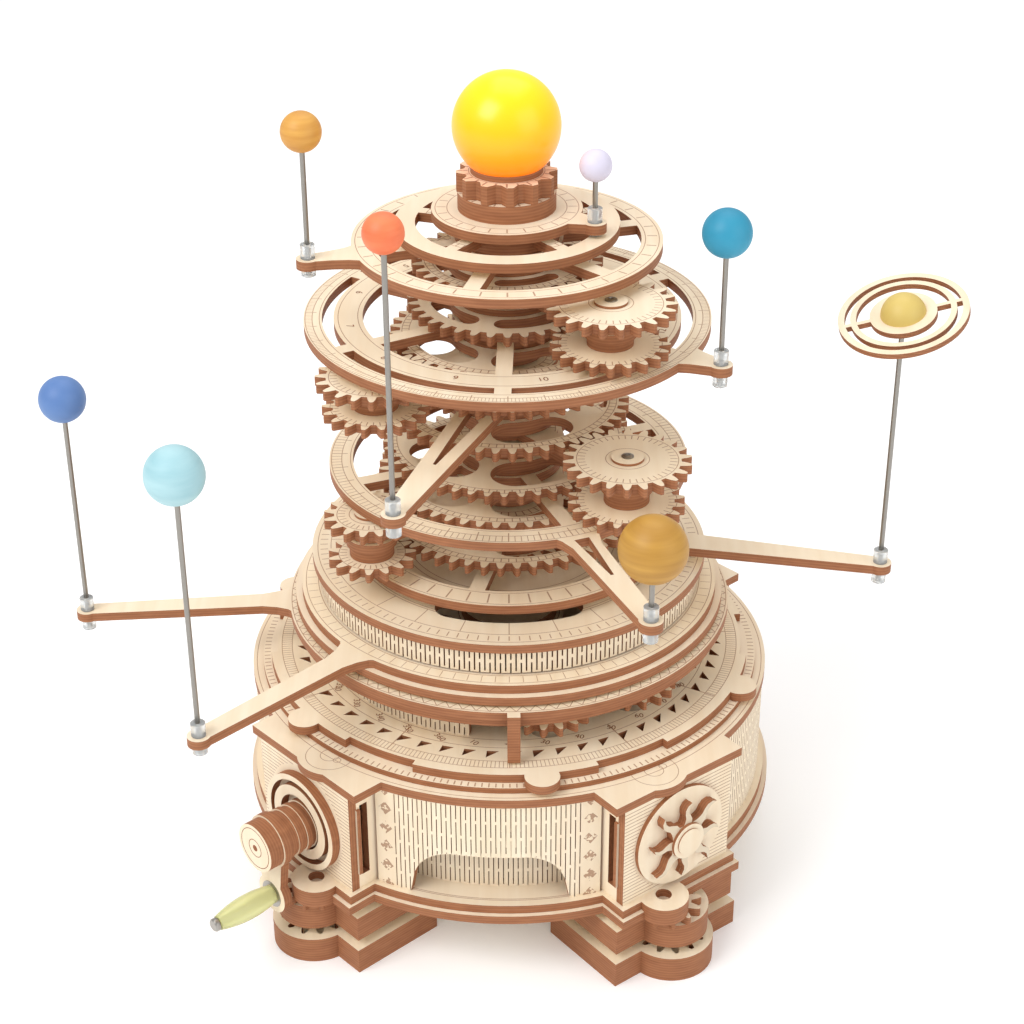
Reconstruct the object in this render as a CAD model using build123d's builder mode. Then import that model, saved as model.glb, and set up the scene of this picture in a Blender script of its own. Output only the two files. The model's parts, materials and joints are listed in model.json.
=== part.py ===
from build123d import *
from math import asin, cos, degrees, radians, sin
import os

# Laser-cut geared orrery, millimetres, +Z up, table at z = 0. Shapes are drawn about the main
# axis, then moved so that the origin is the middle of the whole model's footprint.
AXIS_AT = (4.7, 10.6)  # where the main axis stands
PLY = 3.0             # plywood sheet, the size cue for everything else
MODULE = 1.65         # gear module
TUBE_R = 4.5          # fixed centre tube
ROD_R = 3.0           # turning centre rod
GAP = 0.1             # radial running clearance
HUB_R = 16.0          # stacked hub discs
POST_R = 0.8          # steel planet rods
COLLAR_R = 2.25       # clear plastic collars
BOSS_R = 3.6          # arm ends
EYE_R = 3.5           # side column shafts

# corner blocks: which way the face looks in degrees, and its shift sideways (left is positive)
BLOCKS = ((-52.5, -4.0), (-137.5, 4.0), (127.5, -4.0), (42.5, 4.0))
CRANK_AT, CRANK_SHIFT = BLOCKS[1]
BLOCK_HALF = 22.0     # half width of a corner block
BLOCK_REACH = 91.5    # face of a corner block from the main axis
CRANK_Z = 46.0
CRANK_THROW = 21.0
PLATE_S = 104.0       # crank plate, along the crank's axis
ARCH_X, ARCH_HALF, ARCH_HIGH = -6.5, 24.0, 17.5   # arch in the front panel

# name: ring heights, planet orbit, planet angle, ball height, ball radius
PLANETS = {
    "mercury": (225.4, 29.1, -26.0, 246.0, 4.9),
    "venus": (215.7, 61.7, -164.7, 258.0, 6.1),
    "earth": (190.7, 73.8, -31.5, 235.0, 7.3),
    "mars": (168.0, 92.8, -110.4, 255.0, 5.7),
    "jupiter": (141.0, 108.4, -68.4, 167.0, 9.9),
    "saturn": (115.6, 121.0, -13.0, 204.0, 6.9),
    "uranus": (97.0, 130.8, -134.4, 187.0, 8.6),
    "neptune": (90.0, 139.4, -175.0, 170.0, 7.4),
}
# name: bottom and top of the turning stack, then its gears as teeth and height
STACKS = {
    "venus": (206.0, 224.0, ((34, 209.0),)),
    "earth": (184.0, 201.2, ((43, 185.0), (36, 196.0))),
    "mars": (158.0, 179.2, ((45, 161.0), (45, 175.0))),
    "jupiter": (134.0, 153.0, ((49, 137.0), (47, 147.0))),
    "saturn": (112.6, 129.0, ((24, 112.6), (50, 123.0))),
}
# side columns: angle, lower gear (teeth, height, teeth it meets), upper gear, bracket height
COLUMNS = {
    "column_0": (60.0, (22, 102.0, 12), (10, 112.6, 24), None),
    "column_1": (-143.0, (15, 123.0, 50), (16, 137.0, 49), 130.0),
    "column_2": (-49.5, (20, 147.0, 47), (22, 161.0, 45), 154.0),
    "column_3": (-140.0, (18, 175.0, 45), (20, 185.0, 43), 180.0),
    "column_4": (-49.0, (20, 196.0, 36), (22, 209.0, 34), 202.0),
}
# ring drives: angle, pinion teeth, ring teeth, ring height, ring radius, radius of its toothed layer
ROLLERS = {
    "neptune": (-78.0, 10, 78, 90.0, 73.0, 71.5),
    "uranus": (-46.5, 12, 80, 97.0, 68.6, 70.8),
}
DRIVE_TEETH, ROLLER_TEETH = 52, 16
ROLLER_ORBIT = MODULE * (DRIVE_TEETH + ROLLER_TEETH) / 2
PEGS, PEG_ORBIT, CRANK_TEETH = 45, 45.0, 12


def polar(radius, angle):
    return (radius * cos(radians(angle)), radius * sin(radians(angle)))


def tooth_ring(teeth, phase, inward=False):
    """Outline of straight-sided teeth; a tooth sits at the phase angle."""
    side = -1 if inward else 1
    steps = ((-1.15, 1.45), (0.0, 1.08), (0.72, 0.62), (0.85, 0.36))
    points = []
    for i in range(teeth):
        centre = phase + 360.0 * i / teeth
        flank = [(MODULE * (teeth / 2 + side * grow), half) for grow, half in steps]
        for radius, half in flank:
            points.append(polar(radius, centre - degrees(half / radius)))
        for radius, half in reversed(flank):
            points.append(polar(radius, centre + degrees(half / radius)))
    return points


def mesh_phase(teeth_a, phase_a, direction, teeth_b):
    """Phase of gear b so its gap faces a tooth of gear a in that direction."""
    return direction + 180 - 180 / teeth_b + teeth_a * (direction - phase_a) / teeth_b


def disc(radius, z, height=PLY, bore=0.0, at=(0, 0)):
    with BuildPart() as made:
        with BuildSketch(Plane.XY.offset(z)):
            with Locations(at):
                Circle(radius)
                if bore:
                    Circle(bore, mode=Mode.SUBTRACT)
        extrude(amount=height)
    return made.part


def gear(teeth, z, phase, bore, at=(0, 0), windows=0, inner=0.0):
    """A flat gear, with arc windows between its hub and its rim if it has any."""
    rim = MODULE * (teeth / 2 - 1.15) - 3.5
    with BuildPart() as made:
        with BuildSketch(Plane.XY.offset(z)):
            with Locations(at):
                Polygon(*tooth_ring(teeth, phase), align=None)
                Circle(bore, mode=Mode.SUBTRACT)
            arc_windows(inner, rim, windows, at=at)
        extrude(amount=PLY)
    return made.part


def arc_windows(inner, outer, count, first=0.0, bridge=5.0, at=(0, 0)):
    """Round-ended arc windows cut from the current sketch."""
    middle, wide = (inner + outer) / 2, outer - inner
    for k in range(count):
        sweep = 360.0 / count - degrees((wide + bridge) / middle)
        start = first + 360.0 * k / count - sweep / 2
        with Locations(at):
            SlotArc(CenterArc((0, 0), middle, start, sweep), wide, mode=Mode.SUBTRACT)


def spokes(inner, outer, width, count, first=0.0):
    """Straight spokes drawn in the current sketch."""
    for k in range(count):
        turn = first + 360.0 * k / count
        corners = [(inner, -width / 2), (outer, -width / 2), (outer, width / 2), (inner, width / 2)]
        Polygon(*[rotated(p, turn) for p in corners], align=None)


def rotated(point, angle):
    c, s = cos(radians(angle)), sin(radians(angle))
    return (point[0] * c - point[1] * s, point[0] * s + point[1] * c)


def arm_shape(name, inner, wide, flared=True):
    """Tapered arm with a round end and a hole for the planet's rod, in the current sketch."""
    orbit, angle = PLANETS[name][1:3]
    flare = ((0.0, 2.1), (2.5, 1.45), (6.0, 1.1), (11.0, 0.85)) if flared else ((0.0, 1.0),)
    side = [(inner + n, wide * grow) for n, grow in flare if inner + n < orbit - 4]
    side.append((orbit - 1, BOSS_R - 0.5))
    corners = side + [(n, -t) for n, t in reversed(side)]
    Polygon(*[rotated(p, angle) for p in corners], align=None)
    with Locations(polar(orbit, angle)):
        Circle(BOSS_R)
        Circle(POST_R, mode=Mode.SUBTRACT)


def block_corners(block, near, far, half):
    """Plan rectangle in a corner block, from near to far out from the main axis."""
    angle, shift = block
    corners = [(near, shift - half), (far, shift - half), (far, shift + half), (near, shift + half)]
    return [rotated(p, angle) for p in corners]


def block_frame(block, n=0.0, t=0.0, z=0.0):
    """Location in a corner block: n outward, t sideways from the face's middle, z up."""
    angle, shift = block
    return Location((*rotated((n, shift + t), angle), z), (0, 0, angle))


def block_plate(radius, z, reach, half, bore=0.0, lobe=None, hole=0.0):
    """Round plate with a square extension and a round lobe over every corner block."""
    with BuildPart() as made:
        with BuildSketch(Plane.XY.offset(z)):
            Circle(radius)
            for block in BLOCKS:
                Polygon(*block_corners(block, 0, reach, half), align=None)
                turn = 1 if block[1] > 0 else -1
                n, t, size = lobe
                with Locations(rotated((n, turn * t), block[0])):
                    Circle(size)
                    if hole:
                        Circle(hole, mode=Mode.SUBTRACT)
            if bore:
                Circle(bore, mode=Mode.SUBTRACT)
        extrude(amount=PLY)
    return made.part


def save(part, name):
    placed = part.moved(Location((*AXIS_AT, 0)))
    placed.label = name
    export_step(placed, f"parts/{name}.step")


os.makedirs("parts", exist_ok=True)

# Feet: a thick pad with a lobe and a gear-shaped cut-out, a narrower layer, an upper pad, and a gear
with BuildPart() as feet:
    for block in BLOCKS:
        turn = 1 if block[1] > 0 else -1
        layers = ((0, 9.0, 60, 93.0, 25.5, 14.0), (9.0, 3.0, 64, 88.0, 20.0, 0), (12.0, 9.0, 62, 92.0, 24.5, 12.0))
        for z, height, near, far, half, lobe in layers:
            with BuildSketch(Plane.XY.offset(z)):
                Polygon(*block_corners(block, near, far, half), align=None)
                if lobe:
                    with Locations(rotated((91.0, turn * 5.0), block[0])):
                        Circle(lobe)
            extrude(amount=height)
        with BuildSketch(Plane.XY.offset(3.0)):
            with Locations(rotated((91.0, turn * 5.0), block[0])):
                Polygon(*tooth_ring(12, block[0]), align=None)
        extrude(amount=6.0, mode=Mode.SUBTRACT)
        with BuildSketch(Plane.XY.offset(21.0)):
            with Locations(rotated((92.0, turn * 8.0), block[0])):
                Polygon(*tooth_ring(12, block[0]), align=None)
            Polygon(*block_corners(block, 62, 84, 20.0), align=None)
        extrude(amount=PLY)
save(feet.part, "feet")

# Floor: two plates, the upper one opened for the peg wheel
with BuildPart() as base_floor:
    add(block_plate(89.5, 24.0, 95.0, 24.5, bore=ROD_R + GAP, lobe=(95.0, 12.0, 8.0)))
    add(block_plate(88.0, 27.0, 93.5, 23.5, bore=PEG_ORBIT + 7.0, lobe=(95.0, 12.0, 8.0), hole=2.6))
save(base_floor.part, "base_floor")

# Curved panels between the blocks, an outer and an inner one, the outer front one with a wide arch
def panel_end(block, side):
    """Angle where a curved panel meets one side of a corner block."""
    return block[0] + degrees(asin((block[1] + side * (BLOCK_HALF + 0.1)) / (86.0 - PLY)))


right_front, left_front, left_back, right_back = BLOCKS
gaps = [(panel_end(left_front, 1), panel_end(right_front, -1)),
        (panel_end(right_front, 1), panel_end(right_back, -1)),
        (panel_end(right_back, 1), panel_end(left_back, -1)),
        (panel_end(left_back, 1), panel_end(left_front, -1) + 360)]
with BuildPart() as arch:
    with BuildSketch(Plane.XZ.offset(78.2)):
        with Locations((ARCH_X, 30.0)):
            RectangleRounded(2 * ARCH_HALF, 2 * ARCH_HIGH, 13.0)
    extrude(amount=10.0)
with BuildPart() as lattice_panels:
    for start, end in gaps:
        for radius, trim in ((86.0, 0.0), (78.0, 4.0)):
            with BuildSketch(Plane.XY.offset(30.0)):
                a, b = start + trim, end - trim
                edge = [polar(radius, a + (b - a) * i / 24) for i in range(25)]
                inner = [polar(radius - PLY, b + (a - b) * i / 24) for i in range(25)]
                Polygon(*(edge + inner), align=None)
            extrude(amount=37.0)
    add(arch.part, mode=Mode.SUBTRACT)
save(lattice_panels.part, "lattice_panels")

# Corner blocks: two side plates each, with a tall slot, and a face plate with a raised disc or rings
with BuildPart() as block_sides:
    for block in BLOCKS:
        for side in (-1, 1):
            with Locations(block_frame(block, 82.75, side * (BLOCK_HALF - PLY / 2), 48.5)):
                Box(11.5, PLY, 37.0)
            with Locations(block_frame(block, 85.7, side * (BLOCK_HALF - PLY / 2), 48.5)):
                Box(3.0, PLY, 27.0, mode=Mode.SUBTRACT)
save(block_sides.part, "block_sides")


def face_plane(block, n, z):
    """Upright plane on a corner block's middle line, its normal pointing out."""
    angle, shift = block
    c, s = cos(radians(angle)), sin(radians(angle))
    return Plane(origin=(n * c - shift * s, n * s + shift * c, z), x_dir=(-s, c, 0), z_dir=(c, s, 0))


with BuildPart() as block_faces:
    for block in BLOCKS:
        crank = block[0] == CRANK_AT
        with Locations(block_frame(block, BLOCK_REACH - PLY / 2, 0, 48.5)):
            Box(PLY, 2 * BLOCK_HALF, 37.0)
        front = face_plane(block, BLOCK_REACH, CRANK_Z + 1 if crank else 48.5)
        with BuildSketch(front):
            Circle(16.8 if crank else 17.5)
            if crank:
                Circle(14.8, mode=Mode.SUBTRACT)
                Circle(13.0)
                Circle(9.6, mode=Mode.SUBTRACT)
        extrude(amount=PLY if crank else 1.5)
        if crank:
            with BuildSketch(face_plane(block, BLOCK_REACH, CRANK_Z)):
                Circle(ROD_R + GAP)
            extrude(amount=-PLY, mode=Mode.SUBTRACT)
save(block_faces.part, "block_faces")

# A plain sun with eight bent rays on the three faces without the crank
with BuildPart() as sun_emblems:
    for block in BLOCKS:
        if block[0] != CRANK_AT:
            with BuildSketch(face_plane(block, BLOCK_REACH + 1.5, 48.5)):
                rays = []
                for k in range(8):
                    for radius, offset in ((6.5, -16.0), (10.5, -4.0), (14.0, 6.0), (10.5, 8.0), (6.5, 16.0)):
                        rays.append(polar(radius, 45.0 * k + offset))
                Polygon(*rays, align=None)
            extrude(amount=PLY)
            with BuildSketch(face_plane(block, BLOCK_REACH + 1.5 + PLY, 48.5)):
                Circle(6.2)
            extrude(amount=1.0)
save(sun_emblems.part, "sun_emblems")

# Base top plate, the ring under the dial, and the date dial with its tabs
with BuildPart() as base_top_plate:
    add(block_plate(86.5, 67.0, 92.0, 25.8, bore=ROD_R + GAP, lobe=(82.5, 8.0, 11.5)))
save(base_top_plate.part, "base_top_plate")

with BuildPart() as dial_support:
    add(disc(83.0, 70.0, 2.0, bore=46.0))
save(dial_support.part, "dial_support")

with BuildPart() as date_dial:
    with BuildSketch(Plane.XY.offset(72.0)):
        Circle(78.0)
        for k in range(6):
            middle = -91.0 + 60.0 * k
            wedge = [(0, 0)] + [polar(80.2, middle - 21 + 3.5 * i) for i in range(13)]
            Polygon(*wedge, align=None)
            with Locations(polar(81.5, -83.0 + 60.0 * k)):
                Circle(5.5)
        Circle(50.0, mode=Mode.SUBTRACT)
        for k in range(60):
            saw = [polar(71.5, 6.0 * k), polar(68.0, 6.0 * k), polar(68.0, 6.0 * k + 3.2)]
            Polygon(*saw, align=None, mode=Mode.SUBTRACT)
    extrude(amount=PLY)
save(date_dial.part, "date_dial")

# Inner drum: a curved panel, the posts that carry the deck, and the pins of the two ring drives
with BuildPart() as inner_drum:
    with BuildSketch(Plane.XY.offset(75.0)):
        Circle(58.0)
        Circle(55.0, mode=Mode.SUBTRACT)
        wedge = [(0, 0)] + [polar(120.0, -102.0 + 8.0 * i) for i in range(11)]
        Polygon(*wedge, align=None, mode=Mode.SUBTRACT)
    extrude(amount=14.4)
    for angle in (5.0, 95.0, 155.0, -120.0):
        with BuildSketch(Plane.XY.offset(75.0)):
            with Locations(polar(53.5, angle)):
                Circle(3.2)
        extrude(amount=34.0)
    for angle, _, _, high, *_ in ROLLERS.values():
        add(disc(6.0, 75.0, 5.4, at=polar(ROLLER_ORBIT, angle)))
        add(disc(1.5, 75.0, high - 0.3 - 75.0, at=polar(ROLLER_ORBIT, angle)))
save(inner_drum.part, "inner_drum")

# Deck with arc slots, a passage for the first column, and the slatted skirt under its rim
column_0_at = polar(MODULE * (12 + 22) / 2, COLUMNS["column_0"][0])
with BuildPart() as deck_plate:
    with BuildSketch(Plane.XY.offset(109.0)):
        Circle(64.6)
        Circle(TUBE_R, mode=Mode.SUBTRACT)
        with Locations(column_0_at):
            Circle(EYE_R + GAP, mode=Mode.SUBTRACT)
        for middle in (-90.0, 0.0, 180.0):
            SlotArc(CenterArc((0, 0), 46.0, middle - 22, 44), 12.0, mode=Mode.SUBTRACT)
    extrude(amount=PLY)
save(deck_plate.part, "deck_plate")

with BuildPart() as deck_skirt:
    add(disc(60.5, 100.6, 8.4, bore=58.5))
save(deck_skirt.part, "deck_skirt")

# Fixed tube up the middle, with the brackets that hold the side columns
with BuildPart() as spindle_tube:
    add(disc(TUBE_R, 106.0, 118.0, bore=ROD_R + GAP))
    add(disc(9.0, 106.0, 3.0, bore=ROD_R + GAP))
save(spindle_tube.part, "spindle_tube")

with BuildPart() as column_brackets:
    for angle, (low, _, meets), *_, high in list(COLUMNS.values())[1:]:
        reach = MODULE * (low + meets) / 2
        with BuildSketch(Plane.XY.offset(high)):
            Circle(11.0)
            spokes(0.0, reach, 9.0, 1, angle)
            with Locations(polar(reach, angle)):
                Circle(8.0)
                Circle(EYE_R + GAP, mode=Mode.SUBTRACT)
            Circle(TUBE_R, mode=Mode.SUBTRACT)
        extrude(amount=PLY)
save(column_brackets.part, "column_brackets")

# Drive body: centre rod, peg wheel in the base, drive gears, sun stack and Mercury
with BuildPart() as drive_rod:
    add(disc(ROD_R, 24.5, 211.5))
save(drive_rod.part, "drive_rod")

with BuildPart() as peg_wheel:
    add(disc(PEG_ORBIT + 4.0, 28.6, bore=ROD_R))
    add(disc(9.0, 27.2, 7.4, bore=ROD_R))
    with BuildSketch(Plane.XY.offset(31.6)):
        for k in range(PEGS):
            met = CRANK_AT + degrees(asin(CRANK_SHIFT / PEG_ORBIT))
            with Locations(polar(PEG_ORBIT, met + 360.0 * k / PEGS)):
                Circle(1.0)
    extrude(amount=3.8)
save(peg_wheel.part, "peg_wheel")

with BuildPart() as drive_gears:
    add(disc(7.0, 70.4, 31.6, bore=ROD_R))
    add(disc(HUB_R, 78.0, 10.0, bore=ROD_R))
    add(gear(DRIVE_TEETH, 81.0, 0.0, ROD_R, windows=5, inner=18.5))
    add(gear(12, 102.0, 0.0, ROD_R))
save(drive_gears.part, "drive_gears")

with BuildPart() as sun_cup:
    add(disc(16.5, 224.4, 1.0, bore=ROD_R))
    add(disc(15.0, 228.4, 5.6))
    with BuildSketch(Plane.XY.offset(234.0)):
        Polygon(*[polar(15.3 if i % 4 < 2 else 12.9, 7.5 * i) for i in range(48)], align=None)
    extrude(amount=6.0)
    add(disc(11.0, 240.0, 3.6))
    add(disc(ROD_R, 228.0, 8.0), mode=Mode.SUBTRACT)
    with Locations((0, 0, 254.0)):
        Sphere(16.4, mode=Mode.SUBTRACT)
save(sun_cup.part, "sun_cup")

with BuildPart() as sun_globe:
    with Locations((0, 0, 254.0)):
        Sphere(16.4)
save(sun_globe.part, "sun_globe")

# Rings that carry the planets: name: plain rings (inner, outer), spokes, arm start and half width
RINGS = {
    "mercury": (((17.0, 23.0),), 0, 20.0, 3.4),
    "venus": (((41.0, 47.6),), 6, 44.0, 4.4),
    "earth": (((57.6, 63.3), (45.0, 54.0)), 6, 60.0, 4.4),
    "mars": ((), 0, 8.0, 7.5),
    "jupiter": (((50.0, 57.6),), 4, 53.0, 5.5),
    "saturn": (((44.0, 52.6),), 4, 48.0, 5.5),
}
SPLITS = {"mars": (24.0, 62.0, 3.2), "jupiter": (59.5, 82.0, 2.4)}
for name, (rings, count, start, half) in RINGS.items():
    base = PLANETS[name][0]
    bore = ROD_R if name == "mercury" else TUBE_R + GAP
    with BuildPart() as planet_arm:
        with BuildSketch(Plane.XY.offset(base)):
            for inner, outer in rings:
                Circle(outer)
                Circle(inner, mode=Mode.SUBTRACT)
            Circle(17.2)
            if count:
                spokes(12.0, rings[0][1] - 2.0, 5.0, count, PLANETS[name][2])
            arm_shape(name, start, half, flared=name != "mars")
            if name in SPLITS:
                # long window that parts the arm in two prongs
                near, far, wide = SPLITS[name]
                prong = [(near, -wide), (far, -0.5), (far, 0.5), (near, wide)]
                Polygon(*[rotated(p, PLANETS[name][2]) for p in prong], align=None, mode=Mode.SUBTRACT)
            Circle(bore, mode=Mode.SUBTRACT)
        extrude(amount=PLY)
    save(planet_arm.part, f"{name}_arm")

# Uranus and Neptune ride on rings with a layer of inward teeth beneath
for name, (angle, pinion, teeth, base, outer, toothed) in ROLLERS.items():
    phase = angle - (pinion * angle - 180.0) / teeth
    with BuildPart() as planet_arm:
        with BuildSketch(Plane.XY.offset(base)):
            Circle(outer)
            arm_shape(name, outer - 2.0, 4.6)
            Circle(61.6, mode=Mode.SUBTRACT)
        extrude(amount=PLY)
        with BuildSketch(Plane.XY.offset(base - PLY)):
            Circle(toothed)
            Polygon(*tooth_ring(teeth, phase, inward=True), align=None, mode=Mode.SUBTRACT)
        extrude(amount=PLY)
        if name == "neptune":
            # pointer hanging over the date dial
            with Locations(Location((*polar(74.0, -89.0), 84.5), (0, 0, -89.0))):
                Box(PLY, 4.0, 17.0)
    save(planet_arm.part, f"{name}_arm")

# Turning stacks: hub discs and gears below and above each planet's ring
for name, (bottom, top, gears) in STACKS.items():
    base = PLANETS[name][0]
    with BuildPart() as planet_hub:
        if base > bottom + PLY:
            add(disc(HUB_R, bottom, base - bottom, bore=TUBE_R + GAP))
        add(disc(HUB_R, base + PLY, top - base - PLY, bore=TUBE_R + GAP))
        for teeth, high in gears:
            windows = 0 if teeth == 24 else 5
            add(gear(teeth, high, 0.0, TUBE_R + GAP, windows=windows, inner=HUB_R + 2.0))
        if name == "venus":
            with BuildSketch(Plane.XY.offset(221.0)):
                Circle(34.4)
                Circle(28.0, mode=Mode.SUBTRACT)
                spokes(12.0, 30.0, 4.0, 5, 18.0)
                Circle(TUBE_R + GAP, mode=Mode.SUBTRACT)
            extrude(amount=PLY)
    save(planet_hub.part, f"{name}_hub")

# Planet posts: steel rod with a clear collar over and under the arm; and the balls
BELOW = {"mercury": 0.8, "venus": 2.5, "uranus": 3.2}
for name, (base, orbit, angle, high, radius) in PLANETS.items():
    at = polar(orbit, angle)
    low = base - BELOW.get(name, 4.0)
    with BuildPart() as planet_post:
        add(disc(POST_R, low, high - radius + 3.0 - low, at=at))
        add(disc(COLLAR_R, low, base - low, at=at))
        add(disc(COLLAR_R, base + PLY, 4.5, at=at))
    save(planet_post.part, f"{name}_post")
    with BuildPart() as planet_ball:
        with Locations((*at, high)):
            Sphere(radius)
        add(disc(POST_R, high - radius - 2.0, 5.0, at=at), mode=Mode.SUBTRACT)
    save(planet_ball.part, f"{name}_ball")

# Saturn's rings: three flat rings joined by two bars, tilted
base, orbit, angle, high, radius = PLANETS["saturn"]
ring_plane = Plane(origin=(*polar(orbit, angle), high), x_dir=(0.97, 0.0, 0.245), z_dir=(-0.245, -0.2, 0.97))
with BuildPart() as saturn_rings:
    with BuildSketch(ring_plane.offset(-0.9)):
        Circle(19.5)
        Circle(17.5, mode=Mode.SUBTRACT)
        Circle(15.8)
        Circle(14.0, mode=Mode.SUBTRACT)
        Rectangle(38.0, 1.4)
        Circle(10.0)
    extrude(amount=1.8)
    with Locations((*polar(orbit, angle), high)):
        Sphere(radius, mode=Mode.SUBTRACT)
save(saturn_rings.part, "saturn_rings")

# Side columns: two gears on one shaft, with discs either side of the bracket
for name, (angle, (low_t, low_z, low_meets), (up_t, up_z, up_meets), high) in COLUMNS.items():
    at = polar(MODULE * (low_t + low_meets) / 2, angle)
    with BuildPart() as column:
        add(disc(EYE_R, low_z, up_z + PLY - low_z, at=at))
        add(gear(low_t, low_z, mesh_phase(low_meets, 0.0, angle, low_t), 0.4, at=at))
        add(gear(up_t, up_z, mesh_phase(up_meets, 0.0, angle, up_t), 0.4, at=at))
        if high:
            add(disc(7.0, low_z + PLY, high - 0.3 - low_z - PLY, at=at))
            add(disc(7.0, high + PLY + 0.3, up_z - high - PLY - 0.3, at=at))
            add(disc(5.0, low_z - 0.8, 0.8, at=at))
            add(disc(5.0, up_z + PLY, 0.8, at=at))
        else:
            add(disc(7.0, low_z + PLY, 108.7 - low_z - PLY, at=at))
    save(column.part, name)

# Ring drives: a 16-tooth gear below and a pinion at the ring's level
for name, (angle, pinion, _, base, *_) in ROLLERS.items():
    at = polar(ROLLER_ORBIT, angle)
    with BuildPart() as roller:
        add(gear(ROLLER_TEETH, 81.0, mesh_phase(DRIVE_TEETH, 0.0, angle, ROLLER_TEETH), 1.6, at=at))
        add(disc(4.8, 80.6, base - 0.2 - 80.6, bore=1.6, at=at))
        add(gear(pinion, base - PLY - 0.2, 0.0, 1.6, at=at))
    save(roller.part, f"{name}_roller")

# Crank: shaft with the pinion that meets the pegs and the stacked end, plate, and handle
CRANK_BLOCK = (CRANK_AT, CRANK_SHIFT)
pinion_s = PEG_ORBIT * cos(asin(CRANK_SHIFT / PEG_ORBIT)) - 2.4
with BuildPart() as crank_shaft:
    with BuildSketch(face_plane(CRANK_BLOCK, pinion_s - 2.0, CRANK_Z)):
        Circle(ROD_R)
    extrude(amount=PLATE_S - pinion_s + 2.0)
    with BuildSketch(face_plane(CRANK_BLOCK, pinion_s, CRANK_Z)):
        points = []
        for k in range(CRANK_TEETH):
            middle = -90.0 + 360.0 * (k + 0.5) / CRANK_TEETH
            flank = ((9.2, 1.05), (12.0, 0.85), (13.3, 0.5))
            points += [polar(r, middle - degrees(h / r)) for r, h in flank]
            points += [polar(r, middle + degrees(h / r)) for r, h in reversed(flank)]
        Polygon(*points, align=None)
    extrude(amount=4.0)
    for k in range(7):
        with BuildSketch(face_plane(CRANK_BLOCK, PLATE_S - 1.7 * (k + 1), CRANK_Z)):
            Circle((8.2, 7.7)[k % 2])
        extrude(amount=1.7)
save(crank_shaft.part, "crank_shaft")

handle_z = CRANK_Z - CRANK_THROW
with BuildPart() as crank_arm:
    with BuildSketch(face_plane(CRANK_BLOCK, PLATE_S, CRANK_Z)):
        Circle(9.0)
        Polygon((-7.0, 0), (7.0, 0), (4.2, -CRANK_THROW), (-4.2, -CRANK_THROW), align=None)
        with Locations((0, -CRANK_THROW)):
            Circle(6.6)
    extrude(amount=PLY)
    with BuildSketch(face_plane(CRANK_BLOCK, PLATE_S + PLY, CRANK_Z)):
        Circle(8.3)
    extrude(amount=5.0)
    # screw the handle turns on
    with BuildSketch(face_plane(CRANK_BLOCK, PLATE_S + PLY, handle_z)):
        Circle(1.2)
    extrude(amount=22.0)
    with BuildSketch(face_plane(CRANK_BLOCK, PLATE_S + PLY + 21.4, handle_z)):
        Circle(2.0)
    extrude(amount=1.4)
save(crank_arm.part, "crank_arm")

with BuildPart() as handle:
    for along, radius in ((0.3, 3.0), (7.0, 4.0), (21.0, 2.4)):
        with BuildSketch(face_plane(CRANK_BLOCK, PLATE_S + PLY + along, handle_z)):
            Circle(radius)
    loft()
    with BuildSketch(face_plane(CRANK_BLOCK, PLATE_S + PLY, handle_z)):
        Circle(1.2 + GAP)
    extrude(amount=22.0, mode=Mode.SUBTRACT)
save(handle.part, "handle")
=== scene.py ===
import json
import math

import bpy
import bmesh
from mathutils import Matrix, Vector


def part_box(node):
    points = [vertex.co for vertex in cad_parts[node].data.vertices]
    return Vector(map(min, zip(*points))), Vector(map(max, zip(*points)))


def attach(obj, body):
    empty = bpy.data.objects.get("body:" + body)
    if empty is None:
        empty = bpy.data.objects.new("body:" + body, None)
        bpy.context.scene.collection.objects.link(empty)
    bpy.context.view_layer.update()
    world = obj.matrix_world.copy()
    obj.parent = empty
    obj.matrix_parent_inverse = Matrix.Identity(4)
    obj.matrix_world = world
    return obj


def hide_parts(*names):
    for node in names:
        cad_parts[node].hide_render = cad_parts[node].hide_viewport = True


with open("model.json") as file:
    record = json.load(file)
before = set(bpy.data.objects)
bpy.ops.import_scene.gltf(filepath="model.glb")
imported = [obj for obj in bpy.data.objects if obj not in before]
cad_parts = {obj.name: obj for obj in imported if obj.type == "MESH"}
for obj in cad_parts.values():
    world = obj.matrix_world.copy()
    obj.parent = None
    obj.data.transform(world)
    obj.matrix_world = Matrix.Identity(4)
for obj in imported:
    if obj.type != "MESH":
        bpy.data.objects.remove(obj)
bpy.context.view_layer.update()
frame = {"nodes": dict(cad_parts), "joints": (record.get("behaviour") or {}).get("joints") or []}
nodes = frame["nodes"]
joints = {j["name"]: j for j in frame["joints"]}
MM = 0.001
AXIS = Vector(joints["drive_turn"]["pos_m"])[:2]     # main axis, plan position
# corner blocks as in the CAD: facing angle in degrees and sideways shift in mm
BLOCKS = ((-52.5, -4.0), (-137.5, 4.0), (127.5, -4.0), (42.5, 4.0))
BLOCK_HALF = 22.0
BLOCK_REACH = 91.5        # face of a corner block
WALL_LOW, WALL_HIGH = 30.0, 67.0
WALL_MIDDLE = 48.5
PANEL_R, INNER_PANEL_R, SHEET = 86.0, 78.0, 3.0
CRANK_Z, HANDLE_Z = 46.0, 25.0
PLATE_FRONT, CAP_FRONT = 107.0, 112.0   # crank plate and cap, along the crank's axis


def panel_end(block, side):
    return block[0] + math.degrees(math.asin((block[1] + side * (BLOCK_HALF + 0.1)) / (PANEL_R - SHEET)))


RIGHT_FRONT, LEFT_FRONT, LEFT_BACK, RIGHT_BACK = BLOCKS
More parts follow.
